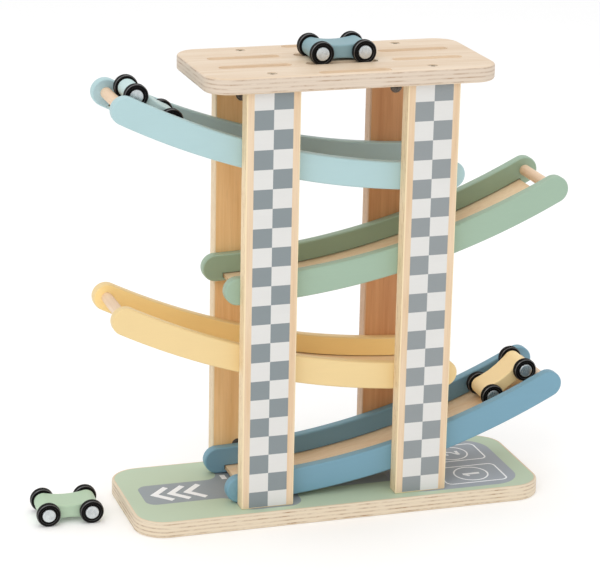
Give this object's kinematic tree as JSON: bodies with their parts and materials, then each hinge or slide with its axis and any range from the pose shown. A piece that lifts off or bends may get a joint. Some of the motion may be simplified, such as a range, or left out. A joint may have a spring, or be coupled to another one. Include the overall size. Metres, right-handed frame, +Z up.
{
  "type": "toy car ramp track",
  "caption": "Wooden toy car track: curved ramps zigzag between posts under a top board with parking grooves, and small cars roll down from ramp to ramp.",
  "frame": {"origin": "centre of the base board's underside", "axes": "+X along the ramps to the right as seen from the front, +Y to the back, +Z up"},
  "size_m": [0.4028, 0.111, 0.3539],
  "materials": {
    "printed_base": "printed plywood",
    "plywood": "lacquered birch plywood",
    "printed_post": "lacquered wood with a check print",
    "rod_wood": "bare beech",
    "pale_blue_paint": "painted wood",
    "green_paint": "painted wood",
    "yellow_paint": "painted wood",
    "blue_paint": "painted wood",
    "bolt_steel": "zinc-plated steel",
    "nut_steel": "zinc-plated steel",
    "axle_steel": "drawn steel",
    "cap_metal": "satin",
    "wheel_black": "matt black"
  },
  "bodies": {
    "track": {"base_board": "printed_base", "top_board": "plywood", "front_left_post": "printed_post", "front_right_post": "printed_post", "rear_left_post": "printed_post", "rear_right_post": "printed_post", "ramp_1_front_rail": "pale_blue_paint", "ramp_1_rear_rail": "pale_blue_paint", "ramp_1_floor": "plywood", "ramp_1_stop_rod": "rod_wood", "ramp_2_front_rail": "green_paint", "ramp_2_rear_rail": "green_paint", "ramp_2_floor": "plywood", "ramp_2_stop_rod": "rod_wood", "ramp_3_front_rail": "yellow_paint", "ramp_3_rear_rail": "yellow_paint", "ramp_3_floor": "plywood", "ramp_3_stop_rod": "rod_wood", "ramp_4_front_rail": "blue_paint", "ramp_4_rear_rail": "blue_paint", "ramp_4_floor": "plywood", "ramp_4_stop_rod": "rod_wood", "rail_pins": "rod_wood", "top_bolts": "bolt_steel", "base_bolts": "bolt_steel", "barrel_nuts": "nut_steel"},
    "car_1_leading_axle": {"car_1_front_axle": "axle_steel", "car_1_front_caps": "cap_metal"},
    "car_1_chassis": {"car_1_body": "pale_blue_paint", "car_1_rear_axle": "axle_steel", "car_1_rear_caps": "cap_metal"},
    "car_1_leading_wheels": {"car_1_front_wheels": "wheel_black"},
    "car_1_trailing_wheels": {"car_1_rear_wheels": "wheel_black"},
    "car_2_leading_axle": {"car_2_front_axle": "axle_steel", "car_2_front_caps": "cap_metal"},
    "car_2_chassis": {"car_2_body": "yellow_paint", "car_2_rear_axle": "axle_steel", "car_2_rear_caps": "cap_metal"},
    "car_2_leading_wheels": {"car_2_front_wheels": "wheel_black"},
    "car_2_trailing_wheels": {"car_2_rear_wheels": "wheel_black"},
    "car_3_chassis": {"car_3_body": "blue_paint", "car_3_front_axle": "axle_steel", "car_3_rear_axle": "axle_steel", "car_3_front_caps": "cap_metal", "car_3_rear_caps": "cap_metal"},
    "car_3_leading_wheels": {"car_3_front_wheels": "wheel_black"},
    "car_3_trailing_wheels": {"car_3_rear_wheels": "wheel_black"},
    "car_4_chassis": {"car_4_body": "green_paint", "car_4_front_axle": "axle_steel", "car_4_rear_axle": "axle_steel", "car_4_front_caps": "cap_metal", "car_4_rear_caps": "cap_metal"},
    "car_4_leading_wheels": {"car_4_front_wheels": "wheel_black"},
    "car_4_trailing_wheels": {"car_4_rear_wheels": "wheel_black"}
  },
  "joints": [
    {"name": "car_1_run", "type": "hinge", "parent": "track", "child": "car_1_leading_axle", "pos_m": [0.089, 0, 0.8103], "axis": [0, -1, 0], "range_deg": [0, 20]},
    {"name": "car_1_settle", "type": "hinge", "parent": "car_1_leading_axle", "child": "car_1_chassis", "pos_m": [-0.12645, 0, 0.3017], "axis": [0, -1, 0], "range_deg": [0, 12]},
    {"name": "car_1_leading_spin", "type": "hinge", "parent": "car_1_leading_axle", "child": "car_1_leading_wheels", "pos_m": [-0.12645, 0, 0.3017], "axis": [0, -1, 0], "continuous": true},
    {"name": "car_1_trailing_spin", "type": "hinge", "parent": "car_1_chassis", "child": "car_1_trailing_wheels", "pos_m": [-0.15213, 0, 0.32079], "axis": [0, -1, 0], "continuous": true},
    {"name": "car_2_run", "type": "hinge", "parent": "track", "child": "car_2_leading_axle", "pos_m": [-0.086, 0.002, 0.5796], "axis": [0, 1, 0], "range_deg": [0, 20]},
    {"name": "car_2_settle", "type": "hinge", "parent": "car_2_leading_axle", "child": "car_2_chassis", "pos_m": [0.12904, 0.002, 0.07083], "axis": [0, 1, 0], "range_deg": [0, 11.5]},
    {"name": "car_2_leading_spin", "type": "hinge", "parent": "car_2_leading_axle", "child": "car_2_leading_wheels", "pos_m": [0.12904, 0.002, 0.07083], "axis": [0, 1, 0], "continuous": true},
    {"name": "car_2_trailing_spin", "type": "hinge", "parent": "car_2_chassis", "child": "car_2_trailing_wheels", "pos_m": [0.1549, 0.002, 0.08967], "axis": [0, 1, 0], "continuous": true},
    {"name": "car_3_roll", "type": "slide", "parent": "track", "child": "car_3_chassis", "axis": [1, 0, 0], "range_m": [-0.0035, 0.0035]},
    {"name": "car_3_leading_spin", "type": "hinge", "parent": "car_3_chassis", "child": "car_3_leading_wheels", "pos_m": [-0.016, -0.0015, 0.3451], "axis": [0, 1, 0], "continuous": true},
    {"name": "car_3_trailing_spin", "type": "hinge", "parent": "car_3_chassis", "child": "car_3_trailing_wheels", "pos_m": [0.016, -0.0015, 0.3451], "axis": [0, 1, 0], "continuous": true},
    {"name": "car_4_roll", "type": "slide", "parent": "track", "child": "car_4_chassis", "axis": [0.999, -0.0436, 0], "range_m": [-0.06, 0.012]},
    {"name": "car_4_leading_spin", "type": "hinge", "parent": "car_4_chassis", "child": "car_4_leading_wheels", "pos_m": [-0.21633, 0.0043, 0.00885], "axis": [0.0436, 0.999, 0], "continuous": true},
    {"name": "car_4_trailing_spin", "type": "hinge", "parent": "car_4_chassis", "child": "car_4_trailing_wheels", "pos_m": [-0.18437, 0.0029, 0.00885], "axis": [0.0436, 0.999, 0], "continuous": true}
  ],
  "couplings": [
    {"joint": "car_1_settle", "follows": "car_1_run", "ratio": 0.6},
    {"joint": "car_1_leading_spin", "follows": "car_1_run", "ratio": -63.446},
    {"joint": "car_1_trailing_spin", "follows": "car_1_run", "ratio": -64.046},
    {"joint": "car_2_settle", "follows": "car_2_run", "ratio": 0.575},
    {"joint": "car_2_leading_spin", "follows": "car_2_run", "ratio": -63.446},
    {"joint": "car_2_trailing_spin", "follows": "car_2_run", "ratio": -64.021},
    {"joint": "car_3_leading_spin", "follows": "car_3_roll", "rad_per_m": 112.99},
    {"joint": "car_3_trailing_spin", "follows": "car_3_roll", "rad_per_m": 112.99},
    {"joint": "car_4_leading_spin", "follows": "car_4_roll", "rad_per_m": 112.99},
    {"joint": "car_4_trailing_spin", "follows": "car_4_roll", "rad_per_m": 112.99}
  ]
}
